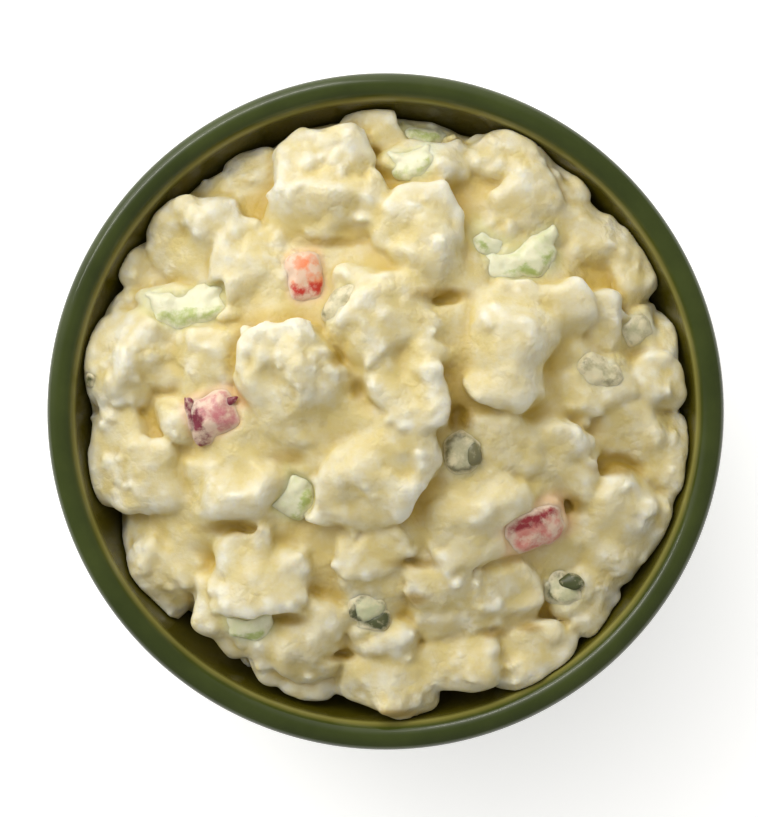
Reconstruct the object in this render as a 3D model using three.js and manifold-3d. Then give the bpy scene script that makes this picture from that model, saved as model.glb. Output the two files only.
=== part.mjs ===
// A cup of potato salad: a small round glazed bowl with a rolled rim, filled and heaped with
// dressed potato cubes and a few pieces of red pepper, celery and gherkin.
// Millimetres, +Z up. The origin is the centre of the foot ring's underside.
// Seen from above, +X is to the right and +Y is away from the viewer.
import * as THREE from "three";
import { mergeVertices } from "three/addons/utils/BufferGeometryUtils.js";
import Module from "manifold-3d";

const wasm = await Module();
wasm.setup();

// ---- Driving dimensions of the bowl ----
const RIM_RADIUS = 60; // the widest circle, on the outside of the rolled rim
const BOWL_HEIGHT = 52; // table to the crown of the rim
const ROLL_HALF_WIDTH = 2.3; // the rolled rim's oval section
const ROLL_HALF_HEIGHT = 2.1;
const LEDGE_WIDTH = 0.7; // narrow step between the roll and the inner wall
const LEDGE_DROP = 0.95;
const FOOT_RADIUS = 33.2; // outside of the foot ring
const FOOT_WIDTH = 4.6;
const FOOT_HEIGHT = 3;
const FOOT_BEVEL = 0.8;
const RECESS_DEPTH = 2.2; // hollow under the bowl, inside the foot ring
const FLOOR_TOP = 6.5; // upper face of the bowl's floor
const FLOOR_RADIUS = 20; // flat part of that face
const WALL_THICKNESS = 3.1;
const WALL_LEAN = 4.3; // how far in the wall leans while it drops by WALL_STRETCH
const WALL_STRETCH = 13;
const WALL_SWEEP = 10; // in from the inner edge of the rim, where the wall has turned into the floor
const ROLL_TUCK = new THREE.Vector2(0.9, 1.2); // from the roll's end in and down to the outer wall
const LATHE_STEPS = 64;
const CURVE_STEPS = 8; // points along each curve of a profile
const WELD = 1e-4; // corners closer than this are one

// ---- Driving dimensions of the salad ----
const GAP = 0.3; // between the salad and the bowl
const HEAP_RISE = 9.5; // the dome's crown above the rim
const HEAP_DROP = 8.5; // the dome's edge below the rim
const HEAP_FULLNESS = 2.3; // higher is flatter on top and steeper at the edge
const HEAP_REACH = 54.2; // no piece comes nearer to the rim than this radius
const EDGE_RADIUS = 52.3; // of the dome
const EDGE_STEEPNESS = 4; // of the core's side below the dome's edge, as height over width
const COAT = 0.8; // dressing on every side of a piece
const CUBE_FLATNESS = 3.2; // exponent of the pieces' rounded form
const CUBE_THICKNESS = 0.78; // of a piece's width
const CUBE_SKEW = 0.2; // the most that a piece leans, for each mm of its half size
const CUBE_JITTER = 0.05; // the most that a corner is out of place, as a share of its distance
const CUBE_TILT = 0.14; // radians
const LEAN_SHARE = 0.5; // how much of the dome's slope a piece leans with
const SCRAP_COUNT = 48; // smaller scraps of potato between the cubes
const SCRAP_LENGTH = { min: 5.2, max: 9.8 };
const SCRAP_WIDTH = { min: 0.7, max: 1 }; // of the scrap's length
const SCRAP_LIFT = { min: 0.4, max: 2.4 };
const SCRAP_SCATTER = 1.1; // off its place on the spiral
const SCRAP_REACH = 50.8; // the outermost scrap's centre
const SCRAP_MARGIN = 2; // scraps nearer to the core's edge are left out
const CORE_LATHE_STEPS = 36;
const CORE_RINGS = [1, 0.93, 0.84, 0.7, 0.45]; // of the way from the middle to the core's edge
const LARGE_PIECE = 15; // cubes at least this long have three facets along each edge
const SEED = 20; // of the scraps' places
const CUBE_SEED = 21; // of the first cube's form, and so on by one
const BIT_SEED = 120;
const SCRAP_SEED = 220;

// Where the core stops short of EDGE_RADIUS between two pieces, or swells past it: angle in degrees
// from +X, depth, and how far it spreads in degrees.
const NOTCHES = [
  [0, 1.4, 8],
  [23, 1.6, 4],
  [46, 2.6, 5],
  [74, 1.6, 5],
  [118, 2.6, 7],
  [151, 3.6, 5],
  [163, -1.4, 5],
  [201, 2.8, 4],
  [213, -1.6, 6],
  [227, 3, 8],
  [270, 5, 32],
  [332, -1.4, 10],
];

// The potato cubes that show, as they lie: x, y, length, width, turn in degrees from +X, how far
// the top stands above the dome, and how many degrees it leans, and which way.
const CUBES = [
  [-11, 43.8, 17, 11, 5, 5.5, 8, 90],
  [-10, 35.5, 18, 12, 0, 3.5, 26, 270],
  [-24, 42.5, 10, 8, 30, 1.7, 0, 0],
  [-29.5, 39.5, 5, 4, 30, 2.8, 0, 0],
  [-33, 31.5, 15, 13, -8, 4.5, 12, 290],
  [-25, 27, 14, 9, 50, 3, 10, 135],
  [-43, 26.5, 8, 7, 0, 2.1, 0, 0],
  [-36, 19, 15, 9, 5, 1.7, 0, 0],
  [-45.5, 19, 8, 6, 30, 2.4, 0, 0],
  [-45, 8.5, 17, 15, 0, 4.3, 10, 150],
  [-30, 8.5, 12, 12, 0, 1.1, 8, 300],
  [-15.5, 5.5, 18, 19, 8, 4.4, 9, 315],
  [0.5, 15, 18, 13, 35, 3.7, 12, 310],
  [6.5, 32.5, 14, 12, 0, 4.8, 8, 110],
  [7.5, 26, 13, 10, 0, 3.4, 26, 275],
  [7, 43.5, 14, 10, 0, 2.8, 0, 0],
  [-2.5, 48.5, 12, 6, 0, 1.8, 0, 0],
  [22.5, 44.5, 16, 9, -12, 4.5, 10, 110],
  [31.5, 40, 5, 8, 10, 3.6, 0, 0],
  [24, 37, 13, 10, 15, 3.8, 6, 135],
  [34.5, 30.5, 9, 12, 5, 2.9, 0, 0],
  [43.5, 26.5, 13, 10, 112, 4.5, 8, 30],
  [20, 11, 19, 17, 80, 4.3, 7, 150],
  [30, 18.5, 10, 8, 20, 3.2, 0, 0],
  [37.5, 16, 9, 10, 0, 2.9, 0, 0],
  [45.5, 15, 8, 6, 80, 3.4, 0, 0],
  [37, 5.5, 12, 9, 10, 2.4, 0, 0],
  [47, 5, 9, 9, 90, 4.1, 0, 0],
  [4.5, 2, 14, 14, 25, 4.4, 8, 130],
  [-1.5, -10, 20, 15, 42, 4.1, 12, 310],
  [20, -4, 17, 10, -10, 1.4, 0, 0],
  [31.5, -7, 14, 10, -25, 2.6, 0, 0],
  [43, -3, 10, 9, 20, 2.8, 0, 0],
  [48.5, -8, 12, 7, 85, 3.4, 0, 0],
  [41.5, -20.5, 18, 17, 52, 5.3, 8, 320],
  [17.3, -17.3, 18, 15, 10, 2.9, 8, 200],
  [-2, -24.5, 11, 7, 20, 2.8, 0, 0],
  [9, -29, 13, 8, 5, 2, 0, 0],
  [20, -31, 15, 9, 5, 2.6, 0, 0],
  [16, -37, 11, 7, 0, 2.2, 0, 0],
  [24.5, -43.5, 14, 9, 12, 5.8, 0, 0],
  [12.5, -44, 14, 9, 8, 5.7, 0, 0],
  [0, -47.5, 17, 12, -4, 6.7, 0, 0],
  [35, -33.5, 11, 10, 45, 4.1, 0, 0],
  [-33, -1, 10, 9, 0, 0.3, 0, 0],
  [-47.5, -4, 11, 9, 90, 3.6, 0, 0],
  [-43, -11.5, 17, 12, -5, 3.8, 8, 150],
  [-27, -12.5, 14, 14, 30, 3.5, 6, 150],
  [-40, -29, 15, 14, 60, 2.4, 14, 250],
  [-20.5, -29, 15, 13, -10, 4.2, 8, 135],
  [-25, -24, 9, 7, 20, 4.0, 0, 0],
  [-25, -31, 10, 10, 0, 5.2, 0, 0],
  [-30, -33, 6, 10, 0, 3.8, 0, 0],
  [-24.5, -40.5, 14, 8, -8, 5.3, 0, 0],
  [-13, -40.5, 11, 12, 0, 4.3, 0, 0],
  [-16.5, -47, 14, 7, -20, 4, 0, 0],
  [-1, -41, 11, 10, 0, 3.6, 0, 0],
];

// The coloured pieces that show: x, y, length, width, turn and the top's height above the dome.
const PEPPER = [
  [-14, 23.5, 6.5, 9, 185, 1.2],
  [-30, -0.2, 9.5, 8, 150, 1.9],
  [26, -20.7, 12, 7.5, 22, 2.4],
];
const CELERY = [
  [-35, 19, 15, 6.5, 4, 2.4],
  [24.5, 27, 12, 6, 24, 1.1],
  [18, 30, 5, 3.5, -30, 0.6],
  [-16, -15, 9, 7, 60, 0.4],
  [5.5, 50, 8, 3.5, -8, 1.3],
  [5, 44.5, 7, 5, 20, 3.8],
  [-24, -38, 7, 4, 10, 5.9],
];
const GHERKIN = [
  [13.5, -7.2, 7, 6.5, 80, 1.1],
  [32, -31, 7, 5, -35, 2.9],
  [-2.8, -34.8, 6.5, 6.5, 0, 1.2],
  [44.5, 14.5, 6, 4.5, 30, 2.8],
  [37.5, 7, 6, 4.5, 0, 2.5],
  [-8.5, 18.8, 7, 4.5, 60, 2.9],
  [-52.2, 5.5, 3.5, 3, 90, 4.6],
];

// The same seed always gives the same run of numbers, from 0 to 1.
function randomNumbers(seed) {
  let state = seed >>> 0;
  return () => {
    state = (state + 0x6d2b79f5) >>> 0;
    let t = Math.imul(state ^ (state >>> 15), 1 | state);
    t = (t + Math.imul(t ^ (t >>> 7), 61 | t)) ^ t;
    return ((t ^ (t >>> 14)) >>> 0) / 4294967296;
  };
}

// A number from -most to most.
function evenly(random, most) {
  return (2 * random() - 1) * most;
}

function between(random, { min, max }) {
  return THREE.MathUtils.lerp(min, max, random());
}

// ---- Profiles: points hold the radius as x and the height as y ----
const ROLL_CENTRE = new THREE.Vector2(
  RIM_RADIUS - ROLL_HALF_WIDTH,
  BOWL_HEIGHT - ROLL_HALF_HEIGHT,
);
const ROLL_OUTER_END = -0.9; // radians round the roll's section, from its widest point
const ROLL_INNER_END = 2.45;

function onRoll(angle) {
  return new THREE.Vector2(
    ROLL_CENTRE.x + ROLL_HALF_WIDTH * Math.cos(angle),
    ROLL_CENTRE.y + ROLL_HALF_HEIGHT * Math.sin(angle),
  );
}

// The inner wall leans in as it goes down, then sweeps round into the flat floor.
const ARRIS = onRoll(ROLL_INNER_END).sub(new THREE.Vector2(LEDGE_WIDTH, LEDGE_DROP));
const INNER_WALL = new THREE.CubicBezierCurve(
  ARRIS,
  new THREE.Vector2(ARRIS.x - WALL_LEAN, ARRIS.y - WALL_STRETCH),
  new THREE.Vector2(ARRIS.x - WALL_SWEEP, FLOOR_TOP),
  new THREE.Vector2(FLOOR_RADIUS, FLOOR_TOP),
);
const OUTER_WALL = new THREE.CubicBezierCurve(
  new THREE.Vector2(FOOT_RADIUS, FOOT_HEIGHT),
  new THREE.Vector2(ARRIS.x - WALL_SWEEP + WALL_THICKNESS, FOOT_HEIGHT),
  new THREE.Vector2(ARRIS.x - WALL_LEAN + WALL_THICKNESS, ARRIS.y - WALL_STRETCH),
  onRoll(ROLL_OUTER_END).sub(ROLL_TUCK),
);

function bowlProfile() {
  const footInner = FOOT_RADIUS - FOOT_WIDTH;
  const points = [
    new THREE.Vector2(0, RECESS_DEPTH),
    new THREE.Vector2(footInner - RECESS_DEPTH, RECESS_DEPTH),
    new THREE.Vector2(footInner, 0),
    new THREE.Vector2(FOOT_RADIUS - FOOT_BEVEL, 0),
    new THREE.Vector2(FOOT_RADIUS, FOOT_BEVEL),
    ...OUTER_WALL.getPoints(CURVE_STEPS),
  ];
  for (let i = 0; i <= CURVE_STEPS; i += 1) {
    const share = i / CURVE_STEPS;
    points.push(onRoll(THREE.MathUtils.lerp(ROLL_OUTER_END, ROLL_INNER_END, share)));
  }
  points.push(...INNER_WALL.getPoints(CURVE_STEPS), new THREE.Vector2(0, FLOOR_TOP));
  return points;
}

// The bowl's inner face moved in by the gap, from the centre of the floor up.
function insideProfile() {
  const points = [new THREE.Vector2(0, FLOOR_TOP + GAP)];
  for (let i = CURVE_STEPS; i >= 0; i -= 1) {
    const share = i / CURVE_STEPS;
    const tangent = INNER_WALL.getTangent(share);
    const inward = new THREE.Vector2(tangent.y, -tangent.x).multiplyScalar(GAP);
    points.push(INNER_WALL.getPoint(share).add(inward));
  }
  return points;
}

// ---- Solids ----
function lathe(points, steps) {
  return new THREE.LatheGeometry(points, steps).rotateX(Math.PI / 2);
}

function toSolid(geometry) {
  geometry.deleteAttribute("normal");
  geometry.deleteAttribute("uv");
  const merged = mergeVertices(geometry, WELD);
  return new wasm.Manifold(
    new wasm.Mesh({
      numProp: 3,
      vertProperties: merged.attributes.position.array,
      triVerts: new Uint32Array(merged.index.array),
    }),
  );
}

function toGeometry(solid) {
  const mesh = solid.getMesh();
  const geometry = new THREE.BufferGeometry();
  geometry.setAttribute("position", new THREE.BufferAttribute(mesh.vertProperties, mesh.numProp));
  geometry.setIndex(new THREE.BufferAttribute(mesh.triVerts, 1));
  return geometry;
}

// How far from the middle the core reaches, in the direction of a point.
function edgeRadius(x, y) {
  const angle = THREE.MathUtils.radToDeg(Math.atan2(y, x));
  let radius = EDGE_RADIUS;
  for (const [middle, depth, spread] of NOTCHES) {
    const away = THREE.MathUtils.euclideanModulo(angle - middle + 180, 360) - 180;
    radius -= depth * Math.exp(-((away / spread) ** 2));
  }
  return radius;
}

// The dome that the pieces lie on.
function domeHeight(radius) {
  const fall = Math.min(radius / EDGE_RADIUS, 1) ** HEAP_FULLNESS;
  return BOWL_HEIGHT + HEAP_RISE - (HEAP_RISE + HEAP_DROP) * fall;
}

// A column with the dome on top, drawn in to the core's edge, and a steep side below it. What
// reaches into the bowl's wall is cut off with the pieces.
function heapCore() {
  const rings = CORE_RINGS.map((share) => new THREE.Vector2(share * EDGE_RADIUS, BOWL_HEIGHT));
  const points = [
    new THREE.Vector2(0, FLOOR_TOP),
    new THREE.Vector2(HEAP_REACH, FLOOR_TOP),
    new THREE.Vector2(HEAP_REACH, BOWL_HEIGHT),
    ...rings,
    new THREE.Vector2(0, BOWL_HEIGHT),
  ];
  const geometry = lathe(points, CORE_LATHE_STEPS);
  const position = geometry.attributes.position;
  for (let i = 0; i < position.count; i += 1) {
    if (position.getZ(i) < FLOOR_TOP + WELD) {
      continue;
    }
    const x = position.getX(i);
    const y = position.getY(i);
    const radius = Math.hypot(x, y);
    const edge = edgeRadius(x, y);
    if (radius > EDGE_RADIUS + WELD) {
      position.setZ(i, domeHeight(EDGE_RADIUS) - EDGE_STEEPNESS * (radius - edge));
    } else {
      const scale = edge / EDGE_RADIUS;
      position.setXYZ(i, x * scale, y * scale, domeHeight(radius));
    }
  }
  return toSolid(geometry);
}

// The space the salad may fill: the inside of the bowl, and straight up from its edge.
function clearSpace() {
  const points = insideProfile();
  const ceiling = BOWL_HEIGHT * 2;
  points.push(new THREE.Vector2(HEAP_REACH, ARRIS.y));
  points.push(new THREE.Vector2(HEAP_REACH, ceiling), new THREE.Vector2(0, ceiling));
  return toSolid(lathe(points, CORE_LATHE_STEPS));
}

// A cut piece of food: a box with softened corners, skewed and uneven, laid on the heap's slope.
function cutPiece([x, y, length, width, turn, lift, lean = 0, toward = 0], seed, steps) {
  const random = randomNumbers(seed);
  const size = new THREE.Vector3(length, width, width * CUBE_THICKNESS).addScalar(2 * COAT);
  const geometry = new THREE.BoxGeometry(2, 2, 2, steps, steps, steps);
  geometry.deleteAttribute("normal");
  geometry.deleteAttribute("uv");
  const piece = mergeVertices(geometry, WELD);
  const skewX = evenly(random, CUBE_SKEW);
  const skewY = evenly(random, CUBE_SKEW);
  const taper = evenly(random, CUBE_SKEW);
  const tiltX = evenly(random, CUBE_TILT);
  const tiltY = evenly(random, CUBE_TILT);
  const position = piece.attributes.position;
  const point = new THREE.Vector3();
  for (let i = 0; i < position.count; i += 1) {
    point.fromBufferAttribute(position, i);
    const { x: px, y: py, z: pz } = point;
    const power = CUBE_FLATNESS;
    const sum = Math.abs(px) ** power + Math.abs(py) ** power + Math.abs(pz) ** power;
    point.multiplyScalar(sum ** (-1 / power) * (1 + evenly(random, CUBE_JITTER)));
    point.x += skewX * point.y;
    point.y += skewY * point.z;
    point.x *= 1 + taper * point.y;
    point.multiply(size).divideScalar(2);
    position.setXYZ(i, point.x, point.y, point.z);
  }
  const radius = Math.hypot(x, y);
  const slope = Math.atan(domeHeight(radius) - domeHeight(radius + 1)) * LEAN_SHARE;
  const leaning = THREE.MathUtils.degToRad(lean);
  const way = THREE.MathUtils.degToRad(toward);
  const tilt = new THREE.Euler(
    tiltX - (slope * y) / Math.max(radius, 1) - leaning * Math.sin(way),
    tiltY + (slope * x) / Math.max(radius, 1) + leaning * Math.cos(way),
    0,
  );
  piece.applyMatrix4(new THREE.Matrix4().makeRotationZ(THREE.MathUtils.degToRad(turn)));
  piece.applyMatrix4(new THREE.Matrix4().makeRotationFromEuler(tilt));
  piece.translate(x, y, domeHeight(radius) + lift - size.z / 2);
  return toSolid(piece);
}

// Scraps spread evenly over the heap on a golden-angle spiral.
function scrapPlaces() {
  const random = randomNumbers(SEED);
  const goldenAngle = Math.PI * (3 - Math.sqrt(5));
  const places = [];
  for (let i = 0; i < SCRAP_COUNT; i += 1) {
    const radius = SCRAP_REACH * Math.sqrt((i + 0.5) / SCRAP_COUNT);
    const angle = i * goldenAngle;
    const x = radius * Math.cos(angle) + evenly(random, SCRAP_SCATTER);
    const y = radius * Math.sin(angle) + evenly(random, SCRAP_SCATTER);
    const length = between(random, SCRAP_LENGTH);
    const width = length * between(random, SCRAP_WIDTH);
    const turn = random() * 180;
    const lift = between(random, SCRAP_LIFT);
    if (Math.hypot(x, y) < edgeRadius(x, y) - SCRAP_MARGIN) {
      places.push([x, y, length, width, turn, lift]);
    }
  }
  return places;
}

// Drops what isn't joined to the heap, and fills the hollows that its pieces seal.
function outerShell(solid) {
  return solid.decompose().reduce((a, b) => (a.volume() > b.volume() ? a : b));
}

function saladHeap() {
  const pieces = [];
  for (const [i, place] of CUBES.entries()) {
    const steps = place[2] >= LARGE_PIECE ? 3 : 2;
    pieces.push(cutPiece(place, CUBE_SEED + i, steps));
  }
  for (const [i, place] of [...PEPPER, ...CELERY, ...GHERKIN].entries()) {
    pieces.push(cutPiece(place, BIT_SEED + i, 2));
  }
  for (const [i, place] of scrapPlaces().entries()) {
    pieces.push(cutPiece(place, SCRAP_SEED + i, 1));
  }
  const heap = pieces.reduce((sum, piece) => sum.add(piece), heapCore());
  return outerShell(heap.intersect(clearSpace()));
}

// ---- The object ----
function glaze() {
  return new THREE.MeshStandardMaterial({ color: 0x3e4826, roughness: 0.2, metalness: 0 });
}

function dressedPotato() {
  return new THREE.MeshStandardMaterial({ color: 0xe4d7a4, roughness: 0.45, metalness: 0 });
}

const bowl = new THREE.Mesh(lathe(bowlProfile(), LATHE_STEPS), glaze());
bowl.name = "bowl";
const salad = new THREE.Mesh(toGeometry(saladHeap()), dressedPotato());
salad.name = "potato_salad";

const cupOfSalad = new THREE.Group();
cupOfSalad.add(bowl, salad);

export default cupOfSalad;
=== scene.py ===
# The looks of a cup of potato salad: a glazed bowl, the dressed heap of potato in it, and the
# pieces of red pepper, celery and gherkin that show. Shapes are worked out in millimetres.
import math

import bpy
import numpy as np
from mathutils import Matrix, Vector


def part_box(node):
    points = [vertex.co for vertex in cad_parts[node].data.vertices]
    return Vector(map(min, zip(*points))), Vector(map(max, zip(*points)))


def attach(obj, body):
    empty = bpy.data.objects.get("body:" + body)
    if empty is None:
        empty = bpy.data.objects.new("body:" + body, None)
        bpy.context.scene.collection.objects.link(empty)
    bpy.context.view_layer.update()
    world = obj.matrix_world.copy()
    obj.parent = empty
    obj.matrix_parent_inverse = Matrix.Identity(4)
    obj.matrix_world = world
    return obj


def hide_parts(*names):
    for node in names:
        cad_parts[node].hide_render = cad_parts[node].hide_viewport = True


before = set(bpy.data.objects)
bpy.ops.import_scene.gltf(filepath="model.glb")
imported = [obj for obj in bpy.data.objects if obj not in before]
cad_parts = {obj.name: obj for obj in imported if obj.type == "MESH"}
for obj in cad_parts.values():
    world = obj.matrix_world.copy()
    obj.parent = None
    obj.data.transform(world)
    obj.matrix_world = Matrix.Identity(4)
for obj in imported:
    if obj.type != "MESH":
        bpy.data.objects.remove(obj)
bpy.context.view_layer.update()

import openvdb
from mathutils import Matrix, Vector

MM = 0.001
TINY = 1e-6  # keeps divisions and powers away from zero

# ---- The bowl, as in the frame ----
RIM_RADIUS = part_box("bowl")[1].x / MM
BOWL_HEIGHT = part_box("bowl")[1].z / MM
ROLL_HALF_WIDTH = 2.3
ROLL_HALF_HEIGHT = 2.1
ROLL_OUTER_END = -0.9  # radians round the roll's section, from its widest point
ROLL_INNER_END = 2.45
LEDGE_WIDTH = 0.7
LEDGE_DROP = 0.95
FOOT_RADIUS = 33.2
FOOT_WIDTH = 4.6
FOOT_HEIGHT = 3.0
FOOT_BEVEL = 0.8
FOOT_SOFTENING = (0.15, 0.45)  # the bevel's middle: in from the foot's side, and up
FOOT_INNER_BEVEL = 0.5
FOOT_FACE = slice(3, 5)  # the profile's points that stand on the table
RECESS_DEPTH = 2.2
FLOOR_TOP = 6.5
FLOOR_RADIUS = 20.0
WALL_THICKNESS = 3.1
WALL_LEAN = 4.3
WALL_STRETCH = 13.0
WALL_SWEEP = 10.0
ROLL_TUCK = np.array([0.9, 1.2])
THIN_REACH = 0.75  # how far round the ledge's edge the glaze is thin
CURVE_STEPS = 40
LATHE_STEPS = 240

# ---- The heap, as in the frame ----
HEAP_RISE = 9.5
HEAP_DROP = 8.5
HEAP_FULLNESS = 2.3
HEAP_REACH = 54.2
EDGE_RADIUS = 52.3
EDGE_STEEPNESS = 4.0
COAT = 0.8
CUBE_FLATNESS = 3.2
CUBE_THICKNESS = 0.78
CUBE_SKEW = 0.2
CUBE_TILT = 0.14
DOME_LEAN = 0.5  # how far the pieces follow the dome's slope
SCRAP_COUNT = 48
SCRAP_LENGTH = (5.2, 9.8)
SCRAP_WIDTH = (0.7, 1.0)
SCRAP_LIFT = (0.4, 2.4)
SCRAP_SCATTER = 1.1
SCRAP_REACH = 50.8
SCRAP_MARGIN = 2.0
SEED = 20
CUBE_SEED = SEED + 1
SCRAP_SEED = SEED + 200

# Where the heap stops short of EDGE_RADIUS between two pieces, or swells past it: angle in degrees
# from +X, depth, and how far it spreads in degrees.
NOTCHES = [
    (0, 1.4, 8),
    (23, 1.6, 4),
    (46, 2.6, 5),
    (74, 1.6, 5),
    (118, 2.6, 7),
    (151, 3.6, 5),
    (163, -1.4, 5),
    (201, 2.8, 4),
    (213, -1.6, 6),
    (227, 3.0, 8),
    (270, 5.0, 32),
    (332, -1.4, 10),
]

# Potato cubes: x, y, length, width, turn in degrees from +X, how far the top stands above the
# dome, and how many degrees it leans, and which way.
CUBES = [
    (-11, 43.8, 17, 11, 5, 5.5, 8, 90),
    (-10, 35.5, 18, 12, 0, 3.5, 26, 270),
    (-24, 42.5, 10, 8, 30, 1.7, 0, 0),
    (-29.5, 39.5, 5, 4, 30, 2.8, 0, 0),
    (-33, 31.5, 15, 13, -8, 4.5, 12, 290),
    (-25, 27, 14, 9, 50, 3, 10, 135),
    (-43, 26.5, 8, 7, 0, 2.1, 0, 0),
    (-36, 19, 15, 9, 5, 1.7, 0, 0),
    (-45.5, 19, 8, 6, 30, 2.4, 0, 0),
    (-45, 8.5, 17, 15, 0, 4.3, 10, 150),
    (-30, 8.5, 12, 12, 0, 1.1, 8, 300),
    (-15.5, 5.5, 18, 19, 8, 4.4, 9, 315),
    (0.5, 15, 18, 13, 35, 3.7, 12, 310),
    (6.5, 32.5, 14, 12, 0, 4.8, 8, 110),
    (7.5, 26, 13, 10, 0, 3.4, 26, 275),
    (7, 43.5, 14, 10, 0, 2.8, 0, 0),
    (-2.5, 48.5, 12, 6, 0, 1.8, 0, 0),
    (22.5, 44.5, 16, 9, -12, 4.5, 10, 110),
    (31.5, 40, 5, 8, 10, 3.6, 0, 0),
    (24, 37, 13, 10, 15, 3.8, 6, 135),
    (34.5, 30.5, 9, 12, 5, 2.9, 0, 0),
    (43.5, 26.5, 13, 10, 112, 4.5, 8, 30),
    (20, 11, 19, 17, 80, 4.3, 7, 150),
    (30, 18.5, 10, 8, 20, 3.2, 0, 0),
    (37.5, 16, 9, 10, 0, 2.9, 0, 0),
    (45.5, 15, 8, 6, 80, 3.4, 0, 0),
    (37, 5.5, 12, 9, 10, 2.4, 0, 0),
    (47, 5, 9, 9, 90, 4.1, 0, 0),
    (4.5, 2, 14, 14, 25, 4.4, 8, 130),
    (-1.5, -10, 20, 15, 42, 4.1, 12, 310),
    (20, -4, 17, 10, -10, 1.4, 0, 0),
    (31.5, -7, 14, 10, -25, 2.6, 0, 0),
    (43, -3, 10, 9, 20, 2.8, 0, 0),
    (48.5, -8, 12, 7, 85, 3.4, 0, 0),
    (41.5, -20.5, 18, 17, 52, 5.3, 8, 320),
    (17.3, -17.3, 18, 15, 10, 2.9, 8, 200),
    (-2, -24.5, 11, 7, 20, 2.8, 0, 0),
    (9, -29, 13, 8, 5, 2, 0, 0),
    (20, -31, 15, 9, 5, 2.6, 0, 0),
    (16, -37, 11, 7, 0, 2.2, 0, 0),
    (24.5, -43.5, 14, 9, 12, 5.8, 0, 0),
    (12.5, -44, 14, 9, 8, 5.7, 0, 0),
    (0, -47.5, 17, 12, -4, 6.7, 0, 0),
    (35, -33.5, 11, 10, 45, 4.1, 0, 0),
    (-33, -1, 10, 9, 0, 0.3, 0, 0),
    (-47.5, -4, 11, 9, 90, 3.6, 0, 0),
    (-43, -11.5, 17, 12, -5, 3.8, 8, 150),
    (-27, -12.5, 14, 14, 30, 3.5, 6, 150),
    (-40, -29, 15, 14, 60, 2.4, 14, 250),
    (-20.5, -29, 15, 13, -10, 4.2, 8, 135),
    (-25, -24, 9, 7, 20, 4.0, 0, 0),
    (-25, -31, 10, 10, 0, 5.2, 0, 0),
    (-30, -33, 6, 10, 0, 3.8, 0, 0),
    (-24.5, -40.5, 14, 8, -8, 5.3, 0, 0),
    (-13, -40.5, 11, 12, 0, 4.3, 0, 0),
    (-16.5, -47, 14, 7, -20, 4, 0, 0),
    (-1, -41, 11, 10, 0, 3.6, 0, 0),
]

# Coloured pieces: x, y, length, width, turn, how far the top stands out of the dressing, how deep
# the colour is, and how much of the piece is filmed with dressing. The smallest are bits of skin.
PEPPER = [
    (-14.0, 23.7, 6.4, 9.0, 185, 0.0, 0.0, 0.55),
    (-30.3, -0.4, 8.0, 9.5, 110, 0.0, 1.0, 0.6),
    (-27.0, 1.8, 3.9, 2.2, 15, 0.8, 1.0, 0.2),
    (-34.0, -0.8, 3.9, 2.0, 112, 0.8, 1.0, 0.2),
    (26.2, -20.4, 12.5, 8.0, 22, 0.5, 0.7, 0.35),
]
CELERY = [
    (-35, 19.0, 15, 6.5, 4, -0.1, 0.0, 0.7),
    (24.5, 27.0, 12.5, 6.5, 24, 0.0, 0.5, 0.7),
    (18, 30.0, 6.0, 4, -30, -0.2, 0.6, 0.65),
    (-16, -15.0, 8, 6, 60, -0.3, 0.3, 0.7),
    (5.5, 50.0, 8.5, 4, -8, 0.0, 0.2, 0.6),
    (5, 44.5, 7.5, 5.5, 20, -0.2, 0.0, 0.75),
    (-24, -38.0, 7.5, 4.5, 10, 0.0, 0.4, 0.6),
]
GHERKIN = [
    (13.3, -7.2, 7.2, 6.5, 80, 0.1, 0.1, 0.35),
    (15.0, -7.2, 2.7, 3.9, 10, 0.8, 0.35, 0.35),
    (31.5, -31.4, 7.5, 5.5, -35, 0.0, 0.5, 0.35),
    (33.3, -30.4, 3.4, 2.4, -40, 0.7, 1.0, 0.3),
    (29.6, -32.0, 2.8, 1.7, -55, 0.6, 0.6, 0.5),
    (-2.8, -34.8, 7.0, 6.0, 0, 0.3, 1.0, 0.3),
    (-5.7, -35.2, 3.6, 2.1, 110, 1.1, 0.8, 0.15),
    (-2.2, -37.3, 3.9, 1.9, 12, 0.8, 0.9, 0.2),
    (44.5, 14.5, 6.5, 5, 30, 0.0, 0.3, 0.55),
    (37.5, 7.0, 7.5, 5.5, 0, -0.1, 0.0, 0.75),
    (-8.5, 18.8, 7.5, 5, 60, 0.2, 0.0, 0.6),
    (-52.2, 5.5, 3.5, 3, 90, 0.6, 0.8, 0.3),
]
BITS = {"pepper": PEPPER, "celery": CELERY, "gherkin": GHERKIN}

# Pits in the dressing: x, y, radius along x, radius along y, depth.
PITS = [
    (9.5, 20.4, 4.2, 1.0, 2.2),
    (40.5, -10, 3.6, 1.1, 2.2),
    (-17, -8.0, 2.4, 1.1, 1.3),
    (19, -39.2, 2.0, 0.8, 1.6),
    (-8.5, 9.0, 0.9, 1.1, 1.2),
    (-5, 4.0, 1.0, 1.4, 1.0),
    (5, -26.6, 3.6, 0.8, 1.6),
    (-27.5, -20.7, 4.4, 0.9, 1.6),
    (-17, -36.7, 2.6, 0.8, 1.4),
    (13, -1.0, 1.8, 2.4, 1.8),
    (32.8, -16.5, 1.8, 1.3, 1.3),
    (-8, -43.5, 2.0, 0.6, 1.4),
    (5, -33.0, 1.8, 1.0, 1.2),
    (25.5, -38.2, 1.6, 0.7, 1.0),
    (1.0, -53.5, 4.0, 0.7, 1.0),
    (-10, 29.8, 4.5, 0.8, 1.0),
]


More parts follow.
